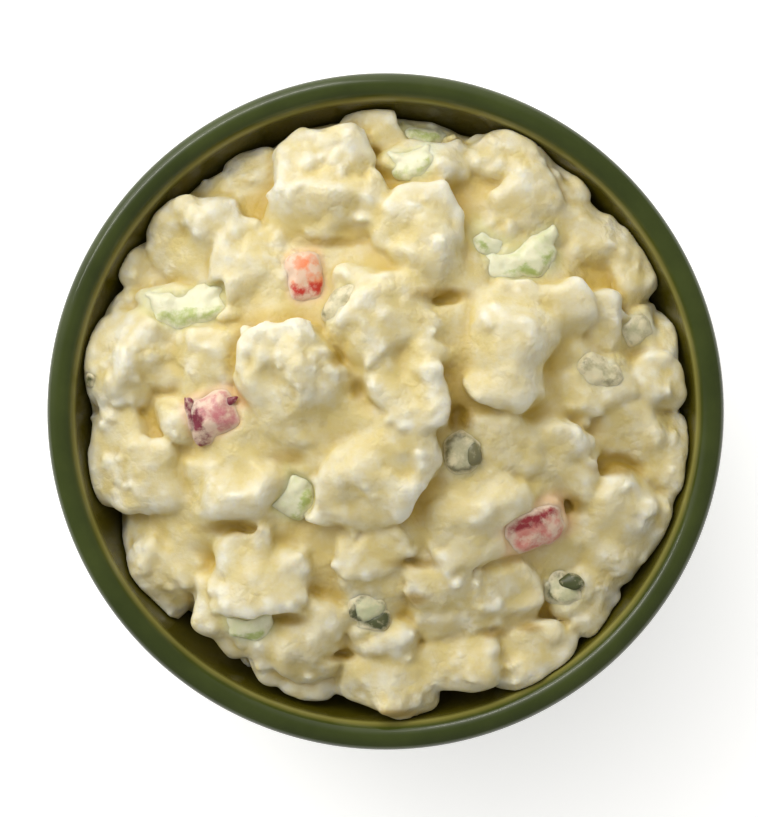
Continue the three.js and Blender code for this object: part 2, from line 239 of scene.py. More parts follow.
def random_numbers(seed):
    """The run of numbers from 0 to 1 that the frame's pieces were drawn with."""
    word = 0xFFFFFFFF
    state = seed & word
    while True:
        state = (state + 0x6D2B79F5) & word
        t = ((state ^ (state >> 15)) * (1 | state)) & word
        t = ((t + (((t ^ (t >> 7)) * (61 | t)) & word)) & word) ^ t
        yield (t ^ (t >> 14)) / (word + 1)


def evenly(draws, most):
    """The next number, spread evenly from -most to most."""
    return (2 * next(draws) - 1) * most


def between(draws, limits):
    return limits[0] + (limits[1] - limits[0]) * next(draws)


# ---- Profiles ----
def on_roll(angle):
    """A point of the rolled rim's section, by its angle from the rim's widest point."""
    return np.array([
        RIM_RADIUS - ROLL_HALF_WIDTH * (1 - math.cos(angle)),
        BOWL_HEIGHT - ROLL_HALF_HEIGHT * (1 - math.sin(angle)),
    ])


def bezier(corners, steps):
    t = np.linspace(0, 1, steps + 1)[:, None]
    a, b, c, d = (np.array(corner, float) for corner in corners)
    return (1 - t) ** 3 * a + 3 * (1 - t) ** 2 * t * b + 3 * (1 - t) * t ** 2 * c + t ** 3 * d


ARRIS = on_roll(ROLL_INNER_END) - (LEDGE_WIDTH, LEDGE_DROP)
INNER_WALL = bezier(
    [
        ARRIS,
        (ARRIS[0] - WALL_LEAN, ARRIS[1] - WALL_STRETCH),
        (ARRIS[0] - WALL_SWEEP, FLOOR_TOP),
        (FLOOR_RADIUS, FLOOR_TOP),
    ],
    CURVE_STEPS,
)


# ---- Fields: blocks of space sampled on a grid, negative inside the food ----
FAR = 50.0
BAND = 2  # voxels kept on each side of a surface
BLUR_REACH = 2.5  # of the blur's own spread


class Field:
    """A block of space from low to high in mm, with one value a voxel."""

    def __init__(self, low, high, voxel):
        self.low = np.array(low, float)
        self.voxel = voxel
        self.shape = tuple(int(math.ceil((b - a) / voxel)) + 1 for a, b in zip(low, high))
        self.values = np.full(self.shape, FAR, np.float32)

    def axes(self, slices=(slice(None),) * 3):
        lines = [
            (self.low[i] + self.voxel * np.arange(n))[cut].astype(np.float32)
            for i, (n, cut) in enumerate(zip(self.shape, slices))
        ]
        return np.meshgrid(*lines, indexing="ij", sparse=True)

    def window(self, centre, reach):
        """The slices of the grid that lie within reach of a point."""
        start = np.floor((np.array(centre) - reach - self.low) / self.voxel).astype(int)
        stop = np.ceil((np.array(centre) + reach - self.low) / self.voxel).astype(int) + 1
        return tuple(
            slice(max(a, 0), max(min(b, n), 0)) for a, b, n in zip(start, stop, self.shape)
        )

    def join(self, slices, distance, blend):
        self.values[slices] = soft_min(self.values[slices], distance, blend)

    def polygons(self, adaptivity):
        """Points, triangles and quads of the surface where the values pass through zero."""
        grid = openvdb.FloatGrid(FAR)
        band = np.clip(self.values, -BAND * self.voxel, BAND * self.voxel)
        grid.copyFromArray(np.ascontiguousarray(band, np.float32))
        points, triangles, quads = grid.convertToPolygons(isovalue=0.0, adaptivity=adaptivity)
        return self.low + self.voxel * points, triangles, quads


def soft_min(a, b, blend):
    """The lower of two values, rounded where they are less than blend apart."""
    share = np.clip(0.5 + 0.5 * (b - a) / blend, 0, 1)
    return b * (1 - share) + a * share - blend * share * (1 - share)


def soft_max(a, b, blend):
    return -soft_min(-a, -b, blend)


def spline_weights(count, spacing):
    """For each grid point, the shares of the coarse values that a cubic B-spline joins."""
    place = np.arange(count) / spacing
    cell = np.floor(place).astype(int)
    t = place - cell
    weights = np.zeros((count, cell[-1] + 4), np.float32)
    rows = np.arange(count)
    weights[rows, cell] = (1 - t) ** 3 / 6
    weights[rows, cell + 1] = (3 * t ** 3 - 6 * t ** 2 + 4) / 6
    weights[rows, cell + 2] = (-3 * t ** 3 + 3 * t ** 2 + 3 * t + 1) / 6
    weights[rows, cell + 3] = t ** 3 / 6
    return weights


def noise(shape, spacing, seed):
    """Smooth random numbers with a spread of 1, whose bumps are about two spacings apart."""
    weights = [spline_weights(n, spacing) for n in shape]
    rng = np.random.default_rng(seed)
    values = rng.standard_normal([w.shape[1] for w in weights]).astype(np.float32)
    for axis, w in enumerate(weights):
        values = np.moveaxis(np.tensordot(w, values, axes=(1, axis)), 0, axis)
    return np.ascontiguousarray(values / values.std())


def blur(values, sigma, axes):
    reach = int(math.ceil(BLUR_REACH * sigma))
    shares = np.exp(-0.5 * (np.arange(-reach, reach + 1) / sigma) ** 2)
    shares /= shares.sum()
    for axis in axes:
        padding = [(reach, reach) if i == axis else (0, 0) for i in range(values.ndim)]
        padded = np.pad(values, padding, mode="edge")
        values = sum(
            share * np.take(padded, range(i, i + values.shape[axis]), axis=axis)
            for i, share in enumerate(shares.astype(np.float32))
        )
    return values


def edge_radius(x, y):
    """How far from the middle the heap's core meets the wall, in the direction of a point."""
    angle = np.degrees(np.arctan2(y, x))
    radius = EDGE_RADIUS
    for middle, depth, spread in NOTCHES:
        away = (angle - middle + 180) % 360 - 180
        radius = radius - depth * np.exp(-((away / spread) ** 2))
    return radius


def dome_height(radius):
    """The height of the dome that the pieces lie on."""
    fall = np.minimum(radius / EDGE_RADIUS, 1) ** HEAP_FULLNESS
    return BOWL_HEIGHT + HEAP_RISE - (HEAP_RISE + HEAP_DROP) * fall


def core_height(x, y):
    """The height of the heap's core: the dome drawn in to the edge, and a steep side below it."""
    radius = np.hypot(x, y)
    edge = edge_radius(x, y)
    beyond = np.maximum(radius - edge, 0)
    return dome_height(radius * EDGE_RADIUS / edge) - EDGE_STEEPNESS * beyond


def wall_distance(radius, height, clearance):
    """How far a point lies outside the space that the bowl leaves, less the clearance."""
    heights = INNER_WALL[::-1, 1]
    radii = INNER_WALL[::-1, 0]
    allowed = np.interp(height, heights, radii, right=radii[-1])
    apart = heights + np.arange(len(heights)) * TINY
    lean = np.interp(height, heights, np.gradient(radii, apart))
    side = (radius - allowed) / np.sqrt(1 + lean ** 2)
    return np.maximum(side, FLOOR_TOP - height) + clearance


# ---- The heap ----
VOXEL = 0.42
ADAPTIVITY = 0.015  # how far flat parts of the surface are joined into larger faces
WALL_CLEARANCE = 0.25
WALL_BLEND = 0.5
DRESSING_BLEND = 1.0  # how far the dressing rounds the angle between two pieces
PIECE_MARGIN = 3.0  # of the block of space round a piece
HEAP_MARGIN = 1.0  # of the block of space round the heap
HEADROOM = 12.0
WARPS = [  # spacing, height and first seed of the noise that bends the pieces
    (4.5, 0.85, 11),
    (1.5, 0.16, 14),
]
CORE_WARP = 0.7


def piece_frame(place, seed):
    """A cut piece's place in the heap: its centre, turning, half sizes and uneven form."""
    x, y, length, width, turn, lift, lean, toward = place
    lean, toward = math.radians(lean), math.radians(toward)
    draws = random_numbers(seed)
    form = {key: evenly(draws, CUBE_SKEW) for key in ("skew_x", "skew_y", "taper")}
    half = (np.array([length, width, width * CUBE_THICKNESS]) + 2 * COAT) / 2
    radius = math.hypot(x, y)
    slope = DOME_LEAN * math.atan(dome_height(radius) - dome_height(radius + 1))
    tilt_x = evenly(draws, CUBE_TILT) - slope * y / max(radius, 1) - lean * math.sin(toward)
    tilt_y = evenly(draws, CUBE_TILT) + slope * x / max(radius, 1) + lean * math.cos(toward)
    turning = Matrix.Rotation(tilt_x, 3, "X") @ Matrix.Rotation(tilt_y, 3, "Y")
    turning = turning @ Matrix.Rotation(math.radians(turn), 3, "Z")
    centre = np.array([x, y, dome_height(radius) + lift - half[2]])
    return centre, np.array(turning), half, form


def add_piece(field, warp, place, seed, blend):
    """Joins a cut piece to the heap: a cube with soft sides, bent by the warp."""
    centre, turning, half, form = piece_frame(place, seed)
    slices = field.window(centre, np.linalg.norm(half) + PIECE_MARGIN)
    x, y, z = field.axes(slices)
    p = [
        x - centre[0] + warp[0][slices],
        y - centre[1] + warp[1][slices],
        z - centre[2] + warp[2][slices],
    ]
    u, v, w = (
        sum(turning[j, i] * p[j] for j in range(3)) / half[i] for i in range(3)
    )
    y0 = v - form["skew_y"] * w
    x0 = u / (1 + form["taper"] * v) - form["skew_x"] * y0
    level = np.abs(x0) ** CUBE_FLATNESS + np.abs(y0) ** CUBE_FLATNESS + np.abs(w) ** CUBE_FLATNESS
    level = np.maximum(level, TINY) ** (1 / CUBE_FLATNESS)
    ray = np.sqrt(p[0] ** 2 + p[1] ** 2 + p[2] ** 2)
    distance = ray * (1 - 1 / level)
    field.join(slices, distance.astype(np.float32), blend)


def scrap_places():
    """Scraps on a spiral that spreads them evenly, each a little off its place."""
    golden_angle = math.pi * (3 - math.sqrt(5))
    draws = random_numbers(SEED)
    places = []
    for i in range(SCRAP_COUNT):
        radius = SCRAP_REACH * math.sqrt((i + 0.5) / SCRAP_COUNT)
        x = radius * math.cos(i * golden_angle) + evenly(draws, SCRAP_SCATTER)
        y = radius * math.sin(i * golden_angle) + evenly(draws, SCRAP_SCATTER)
        length = between(draws, SCRAP_LENGTH)
        width = length * between(draws, SCRAP_WIDTH)
        turn = next(draws) * 180
        lift = between(draws, SCRAP_LIFT)
        if math.hypot(x, y) < edge_radius(x, y) - SCRAP_MARGIN:
            places.append((x, y, length, width, turn, lift, 0, 0))
    return places


def top_of(field):
    """The height of the food's upper face over each grid column."""
    inside = field.values < 0
    highest = field.shape[2] - 1 - np.argmax(inside[:, :, ::-1], axis=2)
    highest = np.minimum(highest, field.shape[2] - 2)
    below = np.take_along_axis(field.values, highest[:, :, None], 2)[:, :, 0]
    above = np.take_along_axis(field.values, highest[:, :, None] + 1, 2)[:, :, 0]
    share = below / np.minimum(below - above, -TINY)
    x, y, _ = field.axes()
    ground = core_height(x, y)[:, :, 0]
    return np.where(inside.any(axis=2), field.low[2] + field.voxel * (highest + share), ground)


def sculpt_heap():
    """The heap without its relief, and the warp that bends its pieces."""
    low = (-HEAP_REACH - HEAP_MARGIN, -HEAP_REACH - HEAP_MARGIN, FLOOR_TOP - HEAP_MARGIN)
    top = BOWL_HEIGHT + HEAP_RISE + HEADROOM
    field = Field(low, (HEAP_REACH + HEAP_MARGIN, HEAP_REACH + HEAP_MARGIN, top), VOXEL)
    x, y, z = field.axes()
    warp = []
    for axis in range(3):
        waves = [
            height * noise(field.shape, spacing / VOXEL, seed + axis)
            for spacing, height, seed in WARPS
        ]
        warp.append(sum(waves))
    field.values = (z - core_height(x, y) + CORE_WARP * warp[0]).astype(np.float32)
    for i, place in enumerate(scrap_places()):
        add_piece(field, warp, place, SCRAP_SEED + i, DRESSING_BLEND)
    for i, place in enumerate(CUBES):
        add_piece(field, warp, place, CUBE_SEED + i, DRESSING_BLEND)
    return field, warp


# ---- Relief, pits and crumbs ----
SURFACE_BLUR = 1.0  # of the surface on which pits, crumbs and coloured pieces are placed
RELIEF_DEPTH = 20.0  # how far below the rim the relief begins
LUMP_SPACING = 3.4
LUMP_HEIGHT = 0.12
LUMP_MEAN = 0.8  # of the noise's size, so that the lumps rise as much as they sink
RELIEF = [  # spacing of the noise and height, mm: curds and grain of the broken potato
    (1.5, 0.055),
    (0.8, 0.03),
]
PATCH_SPACING = 4.5  # the relief is higher in some patches than in others
PATCH_HEIGHT = 0.65
PATCH_SPREAD = 0.45
PATCH_LIMITS = (0.25, 1.3)
FILM = 0.32  # the dressing rounds off what is smaller than this
CRACK_SPACING = 3.6
CRACK_WIDTH = 0.14
CRACK_DEPTH = 0.6
CRACKED_SPACING = 7.0  # of the patches that are cracked
RELIEF_SEEDS = {"patches": 31, "lumps": 40, "grain": 41, "cracks": 51, "cracked": 52}
PIT_LIFT = 0.4  # of a pit's middle above the surface
PIT_MARGIN = 2.0
PIT_WARP = 1.2
PIT_BLEND = 1.4
# PIT_FADE sets how far the painted shade in a pit spreads.
PIT_FADE = 1.7  # how many radii from a pit's middle its colour ends
CRUMB_COUNT = 800
CRUMB_RADIUS = (0.4, 1.3)
CRUMB_SINK = (-1.05, -0.45)  # a crumb's middle from the surface, as a share of its radius
CRUMB_STRETCH = (0.6, 1.5)
CRUMB_BLEND = 0.9
CRUMB_REACH = 1.6  # of the block of space round a crumb, in radii, and its margin
CRUMB_MARGIN = 1.0
CRUMB_INSET = 1.0  # from the heap's edge
CRUMB_TINT = 1.5  # how many radii from a crumb's middle its colour ends
CRUMB_WARP = 0.3
CRUMB_WARP_SPACING = 1.3
CRUMB_EDGE_BLUR = 3.0  # what stands above its surroundings by this blur is an edge
CRUMB_PATCH_SPACING = 5.0
CRUMB_CHANCE = {"least": 0.02, "base": 0.2, "raised": 0.5, "patches": 0.45}
CRUMB_SEEDS = {"patches": 61, "warp": 71}


def add_relief(field, top):
    """Lumps, grain and cracks in the upper part of the heap."""
    values = field.values[top]
    shape = values.shape
    patches = noise(shape, PATCH_SPACING / VOXEL, RELIEF_SEEDS["patches"])
    crumbly = np.clip(PATCH_HEIGHT + PATCH_SPREAD * patches, *PATCH_LIMITS)
    lumps = np.abs(noise(shape, LUMP_SPACING / VOXEL, RELIEF_SEEDS["lumps"]))
    values -= LUMP_HEIGHT * (lumps - LUMP_MEAN)
    for i, (spacing, height) in enumerate(RELIEF):
        values -= height * crumbly * noise(shape, spacing / VOXEL, RELIEF_SEEDS["grain"] + i)
    cracks = noise(shape, CRACK_SPACING / VOXEL, RELIEF_SEEDS["cracks"])
    cracked = np.clip(noise(shape, CRACKED_SPACING / VOXEL, RELIEF_SEEDS["cracked"]), 0, 1)
    values += CRACK_DEPTH * cracked * np.exp(-(cracks / CRACK_WIDTH) ** 2)
    field.values[top] = values


def carve_pits(field, heights, warp):
    """Hollows in the dressing, bent by the same warp as the pieces."""
    for x, y, reach_x, reach_y, depth in PITS:
        centre = (x, y, sample(heights, field, x, y) + PIT_LIFT)
        slices = field.window(centre, max(reach_x, reach_y, depth) + PIT_MARGIN)
        px, py, pz = (
            axis - c + PIT_WARP * shift[slices]
            for axis, c, shift in zip(field.axes(slices), centre, warp)
        )
        level = np.sqrt((px / reach_x) ** 2 + (py / reach_y) ** 2 + (pz / depth) ** 2)
        hole = (level - 1) * min(reach_x, reach_y, depth)
        field.values[slices] = soft_max(field.values[slices], -hole, PIT_BLEND)


# The pits' share sets the painted shade in them.
def pit_share(x, y):
    """How far points lie into the pits, from 0 outside them to 1 in the middle."""
    levels = [
        np.hypot((x - px) / reach_x, (y - py) / reach_y) for px, py, reach_x, reach_y, _ in PITS
    ]
    return np.clip(PIT_FADE - np.min(levels, axis=0), 0, 1)


def sample(heights, field, x, y):
    """The value of a map over the grid's columns at points in mm."""
    column = (np.asarray(x) - field.low[0]) / field.voxel
    row = (np.asarray(y) - field.low[1]) / field.voxel
    i = np.clip(np.floor(column).astype(int), 0, heights.shape[0] - 2)
    j = np.clip(np.floor(row).astype(int), 0, heights.shape[1] - 2)
    s, t = column - i, row - j
    low = heights[i, j] * (1 - s) + heights[i + 1, j] * s
    high = heights[i, j + 1] * (1 - s) + heights[i + 1, j + 1] * s
    return low * (1 - t) + high * t


def scatter_crumbs(field, heights):
    """Crumbs of potato in the dressing, thickest along the edges of the cubes. Returns a map of
    how much of each place is crumb."""
    rng = np.random.default_rng(SEED)
    raised = heights - blur(heights, CRUMB_EDGE_BLUR / VOXEL, (0, 1))
    patches = noise(heights.shape, CRUMB_PATCH_SPACING / VOXEL, CRUMB_SEEDS["patches"])
    chance = CRUMB_CHANCE["base"] + CRUMB_CHANCE["raised"] * raised
    chance = np.clip(chance + CRUMB_CHANCE["patches"] * patches, CRUMB_CHANCE["least"], 1)
    ragged = [
        CRUMB_WARP * noise(field.shape, CRUMB_WARP_SPACING / VOXEL, CRUMB_SEEDS["warp"] + axis)
        for axis in range(3)
    ]
    placed = np.zeros(heights.shape, np.float32)
    count = 0
    while count < CRUMB_COUNT:
        x, y = rng.uniform(-HEAP_REACH, HEAP_REACH, 2)
        size = CRUMB_RADIUS[0] + (CRUMB_RADIUS[1] - CRUMB_RADIUS[0]) * rng.random() ** 2
        outside = math.hypot(x, y) > HEAP_REACH - CRUMB_INSET
        if outside or rng.random() > sample(chance, field, x, y):
            continue
        count += 1
        centre = np.array([x, y, sample(heights, field, x, y) + size * rng.uniform(*CRUMB_SINK)])
        slices = field.window(centre, CRUMB_REACH * size + CRUMB_MARGIN)
        spot = [
            axis - c + shift[slices] for axis, c, shift in zip(field.axes(slices), centre, ragged)
        ]
        stretch = rng.uniform(*CRUMB_STRETCH, 3)
        level = np.sqrt(sum((p / s) ** 2 for p, s in zip(spot, stretch)))
        field.join(slices, (level - size).astype(np.float32), CRUMB_BLEND)
        px, py, _ = field.axes(slices)
        area = placed[slices[:2]]
        near = np.hypot(px - x, py - y)[:, :, 0]
        np.maximum(area, np.clip(CRUMB_TINT - near / size, 0, 1), out=area)
    return placed


# ---- Coloured pieces ----
BIT_VOXEL = 0.25
BIT_ADAPTIVITY = 0.01
BIT_SEED_STEP = 100
BIT_THICKNESS = 0.62  # of a piece's width
BIT_LEAN = 0.6  # how far a piece follows the slope under it
BIT_SLOPE_STEP = 0.4  # of its length, to each side, where that slope is read
BIT_FOOTPRINT = 0.3  # of its length, to each side, where the height under it is read
BIT_REACH = 1.35  # of the block of space round a piece, in half lengths, and its margin
BIT_MARGIN = 0.6
BIT_RELIEF = [  # spacing of the noise and height, mm
    (2.4, 0.2),
    (0.9, 0.07),
]
SQUARENESS = {"pepper": 4, "celery": 4, "gherkin": 2.6}
CRESCENT_BEND = 0.55
CRESCENT_SHIFT = 0.25
SKIN_BIT = 2.0  # half the length of the largest piece that is all skin
SKIN_START = 0.3  # how far out the skin begins, as a share of the half size
GHERKIN_FLESH = 0.45  # how much farther out it begins on gherkin, which has skin all round
BED_LEVEL = 0.45  # how high the dressing comes on a piece, as a share of half its height
BED_SPACING = 1.5
BED_SPREAD = 0.28
BED_REACH = 1.4  # of the block of space that a bed changes, in half lengths, and its margin
BED_MARGIN = 3.0
BED_BLEND = 0.8
BED_RIM_BLEND = 0.6
LAP_FADE = 0.7  # how far above the dressing a piece is still filmed with it
STAIN = 0.6  # how far a piece's colour shows in the dressing round it


def bit_outline(kind, u, v):
    """The level of a cut piece's outline, 1 at its edge, at places given as shares of its size."""
    if kind == "celery":  # a slice across the stalk, bent like a crescent
        v = v - CRESCENT_BEND * (u ** 2) + CRESCENT_SHIFT
    power = SQUARENESS[kind]
    return np.maximum(np.abs(u) ** power + np.abs(v) ** power, TINY) ** (1 / power)


def lay_bit(kind, place, seed, field, heights):
    """A coloured piece laid on the dressing, leaning with the slope under it."""
    x, y, length, width, turn, proud, deep, film = place
    half = np.array([length, width, BIT_THICKNESS * width]) / 2
    step = BIT_SLOPE_STEP * length
    fall_x = sample(heights, field, x + step, y) - sample(heights, field, x - step, y)
    fall_y = sample(heights, field, x, y + step) - sample(heights, field, x, y - step)
    slope_x, slope_y = fall_x / (2 * step), fall_y / (2 * step)
    normal = Vector((-BIT_LEAN * slope_x, -BIT_LEAN * slope_y, 1)).normalized()
    turning = Vector((0, 0, 1)).rotation_difference(normal).to_matrix()
    turning = turning @ Matrix.Rotation(math.radians(turn), 3, "Z")
    across = np.array([[0, 0], [1, 0], [-1, 0], [0, 1], [0, -1]]) * BIT_FOOTPRINT * length
    surface = np.mean(sample(heights, field, x + across[:, 0], y + across[:, 1]))
    centre = np.array([x, y, surface]) + np.array(normal) * (proud - BED_LEVEL * half[2])
    return {
        "kind": kind,
        "centre": centre,
        "turning": np.array(turning),
        "half": half,
        "seed": seed,
        "deep": deep,
        "film": film,
    }


def lay_bits(field, heights):
    bits = []
    for kind, places in BITS.items():
        for i, place in enumerate(places):
            seed = BIT_SEED_STEP * (len(bits) + 1) + i
            bits.append(lay_bit(kind, place, seed, field, heights))
    return bits


def bit_place(bit, x, y, z):
    """Where a point lies in a piece, as shares of its half sizes."""
    p = [axis - c for axis, c in zip((x, y, z), bit["centre"])]
    return [sum(bit["turning"][j, i] * p[j] for j in range(3)) / bit["half"][i] for i in range(3)]


def bit_distance(bit, x, y, z):
    """How far a point lies outside a piece, which bulges like a small pillow."""
    u, v, w = bit_place(bit, x, y, z)
    level = np.sqrt(bit_outline(bit["kind"], u, v) ** 2 + w ** 2)
    return ((level - 1) * min(bit["half"])).astype(np.float32)


def bed_bit(field, bit):
    """Brings the dressing to an uneven level round a piece, so that the middle of it stands out."""
    slices = field.window(bit["centre"], max(bit["half"]) * BED_REACH + BED_MARGIN)
    u, v, w = bit_place(bit, *field.axes(slices))
    seed = bit["seed"] + len(BIT_RELIEF)
    uneven = BED_SPREAD * noise(field.values[slices].shape, BED_SPACING / VOXEL, seed)
    above = (w - BED_LEVEL) * bit["half"][2] - uneven
    outside = (bit_outline(bit["kind"], u, v) - 1) * min(bit["half"][:2])
    filling = soft_max(above, outside, BED_BLEND)
    clearing = soft_max(-above, outside, BED_BLEND)
    filled = soft_min(field.values[slices], filling, BED_BLEND)
    field.values[slices] = soft_max(filled, -clearing, BED_RIM_BLEND)


def build_bit(bit, salad):
    """A coloured piece's mesh and, for each of its points, the place in the piece and how near the
    dressing is."""
    reach = max(bit["half"]) * BIT_REACH + BIT_MARGIN
    field = Field(bit["centre"] - reach, bit["centre"] + reach, BIT_VOXEL)
    field.values = bit_distance(bit, *field.axes())
    for i, (spacing, height) in enumerate(BIT_RELIEF):
        grain = noise(field.shape, spacing / BIT_VOXEL, bit["seed"] + i)
        field.values = field.values + height * grain
    mesh = field.polygons(BIT_ADAPTIVITY)
    points = mesh[0]
    local = (points - bit["centre"]) @ bit["turning"] / bit["half"]
    lapped = np.clip(1.0 - value_at(salad, points) / LAP_FADE, 0, 1)
    return mesh, local, lapped


def skin_share(bit, local):
    """How much of the colour is the skin's, at places in a piece."""
    if max(bit["half"]) <= SKIN_BIT:
        return np.ones(len(local))
    sides = {
        "pepper": local[:, 1],
        "celery": -local[:, 1],
        "gherkin": np.hypot(local[:, 0], local[:, 1]) - GHERKIN_FLESH,
    }
    return np.clip(0.5 + 2 * (sides[bit["kind"]] - SKIN_START), 0, 1)


def stain(bit, points):
    """How strongly a piece's colour shows at points of the dressing."""
    away = np.maximum(bit_distance(bit, *points.T), 0)
    return np.exp(-((away / STAIN) ** 2))


def value_at(field, points):
    """The field's value at points in mm, joined from the eight grid points round each."""
    place = (points - field.low) / field.voxel
    cell = np.clip(np.floor(place).astype(int), 0, np.array(field.shape) - 2)
    share = place - cell
    total = np.zeros(len(points))
    for corner in np.ndindex(2, 2, 2):
        weight = np.prod(np.where(corner, share, 1 - share), axis=1)
        total += weight * field.values[tuple((cell + corner).T)]
    return total


# ---- Meshes ----
def make_object(name, parts, attributes, material):
    """One object from one or more sets of points, triangles and quads in mm."""
    points, faces, start = [], [], 0
    for part_points, triangles, quads in parts:
        points.append(part_points)
        for corners in (triangles, quads):
            faces.extend((np.asarray(corners, int) + start).tolist())
        start += len(part_points)
    points = np.concatenate(points) * MM
    mesh = bpy.data.meshes.new(name)
    mesh.from_pydata(points.tolist(), [], faces)
    for key, values in attributes.items():
        layer = mesh.attributes.new(key, "FLOAT", "POINT")
        layer.data.foreach_set("value", np.ascontiguousarray(values, np.float32))
    mesh.shade_smooth()
    piece = bpy.data.objects.new(name, mesh)
    bpy.context.scene.collection.objects.link(piece)
    mesh.materials.append(material)
    return piece


def lathe(profile):
    """Points and quads of a profile turned round the Z axis. Its ends lie on the axis."""
    turns = np.linspace(0, 2 * math.pi, LATHE_STEPS, endpoint=False)
    rings = profile[1:-1]
    points = [[0, 0, profile[0][1]]]
    for radius, height in rings:
        level = np.full(LATHE_STEPS, height)
        ring = np.stack([radius * np.cos(turns), radius * np.sin(turns), level])
        points.extend(ring.T.tolist())
    points.append([0, 0, profile[-1][1]])
    here = np.arange(LATHE_STEPS)
    there = (here + 1) % LATHE_STEPS
    quads = []
    for i in range(len(rings) - 1):
        a, b = 1 + i * LATHE_STEPS, 1 + (i + 1) * LATHE_STEPS
        quads.extend(np.stack([a + here, a + there, b + there, b + here], 1).tolist())
    last = 1 + (len(rings) - 1) * LATHE_STEPS
    end = len(points) - 1
    triangles = np.concatenate([
        np.stack([np.zeros(LATHE_STEPS, int), 1 + there, 1 + here], 1),
        np.stack([last + here, last + there, np.full(LATHE_STEPS, end)], 1),
    ])
    return np.array(points), triangles, np.array(quads)


def bowl_profile():
    """The bowl's section from under its middle, out, over the rim and down to the floor inside.
    Returns the points and, for each, whether it is inside, left bare, and how thin the glaze is."""
    foot_inner = FOOT_RADIUS - FOOT_WIDTH
    outer = bezier(
        [
            (FOOT_RADIUS, FOOT_HEIGHT),
            (ARRIS[0] - WALL_SWEEP + WALL_THICKNESS, FOOT_HEIGHT),
            (ARRIS[0] - WALL_LEAN + WALL_THICKNESS, ARRIS[1] - WALL_STRETCH),
            on_roll(ROLL_OUTER_END) - ROLL_TUCK,
        ],
        CURVE_STEPS,
    )
    roll = np.array([on_roll(a) for a in np.linspace(ROLL_OUTER_END, ROLL_INNER_END, CURVE_STEPS)])
    foot = np.array([
        (foot_inner - RECESS_DEPTH, RECESS_DEPTH),
        (foot_inner - FOOT_INNER_BEVEL, FOOT_INNER_BEVEL),
        (foot_inner, 0.0),
        (FOOT_RADIUS - FOOT_BEVEL, 0.0),
        (FOOT_RADIUS - FOOT_SOFTENING[0], FOOT_SOFTENING[1]),
        (FOOT_RADIUS, FOOT_BEVEL),
    ])
    points = np.concatenate([[(0, RECESS_DEPTH)], foot, outer, roll, INNER_WALL, [(0, FLOOR_TOP)]])
    inside = np.zeros(len(points))
    inside[-(len(INNER_WALL) + 1):] = 1
    bare = np.zeros(len(points))
    bare[FOOT_FACE] = 1
    thin = np.exp(-((np.hypot(*(points - ARRIS).T)) / THIN_REACH) ** 2)
    return points, inside, bare, thin


def per_ring(values):
    """The values of a profile's points at each point of the lathed mesh."""
    return np.concatenate([values[:1], np.repeat(values[1:-1], LATHE_STEPS), values[-1:]])


# ---- Materials ----
class Shader:
    """A material and short ways to add its nodes."""

    def __init__(self, name):
        self.material = bpy.data.materials.new(name)
        self.material.use_nodes = True
        self.nodes = self.material.node_tree.nodes
        self.links = self.material.node_tree.links
        self.surface = self.nodes["Principled BSDF"]

    def add(self, kind, inputs=None, **settings):
        node = self.nodes.new(kind)
        for key, value in settings.items():
            setattr(node, key, value)
        for key, value in (inputs or {}).items():
            self.set(node, key, value)
        return node

    def set(self, node, key, value):
        if isinstance(value, bpy.types.NodeSocket):
            self.links.new(value, node.inputs[key])
        else:
            node.inputs[key].default_value = value

    def finish(self, **values):
        for key, value in values.items():
            self.set(self.surface, key.replace("_", " ").title().replace("Ior", "IOR"), value)
        return self.material

    def attribute(self, name):
        return self.add("ShaderNodeAttribute", attribute_name=name).outputs["Fac"]

    def place(self):
        return self.add("ShaderNodeTexCoord").outputs["Object"]

    def noise(self, scale, detail=3.0, roughness=0.55):
        """Noise with about as many bumps a metre as the scale says."""
        inputs = {"Vector": self.place(), "Scale": scale, "Detail": detail, "Roughness": roughness}
        return self.add("ShaderNodeTexNoise", inputs).outputs["Fac"]

    def remap(self, value, low, high, to_low=0.0, to_high=1.0):
        inputs = {
            "Value": value,
            "From Min": low,
            "From Max": high,
            "To Min": to_low,
            "To Max": to_high,
        }
        return self.add("ShaderNodeMapRange", inputs).outputs["Result"]

    def math(self, operation, a, b):
        return self.add("ShaderNodeMath", {0: a, 1: b}, operation=operation).outputs[0]

    def mix(self, share, a, b):
        inputs = {0: share, 6: a, 7: b}
        return self.add("ShaderNodeMix", inputs, data_type="RGBA").outputs[2]

    def bump(self, height, distance, strength):
        inputs = {"Height": height, "Distance": distance, "Strength": strength}
        return self.add("ShaderNodeBump", inputs).outputs["Normal"]

    def ragged(self, value, spread, scale, detail, roughness):
        """A value made uneven by noise, up or down by the spread at most."""
        uneven = self.remap(self.noise(scale, detail, roughness), 0.3, 0.7, -spread, spread)
        return self.math("ADD", value, uneven)


def srgb(red, green, blue):
    """A colour as read from a screen, as the shader wants it."""
    levels = [c / 255 for c in (red, green, blue)]
    linear = (c / 12.92 if c <= 0.04045 else ((c + 0.055) / 1.055) ** 2.4 for c in levels)
    return (*linear, 1.0)


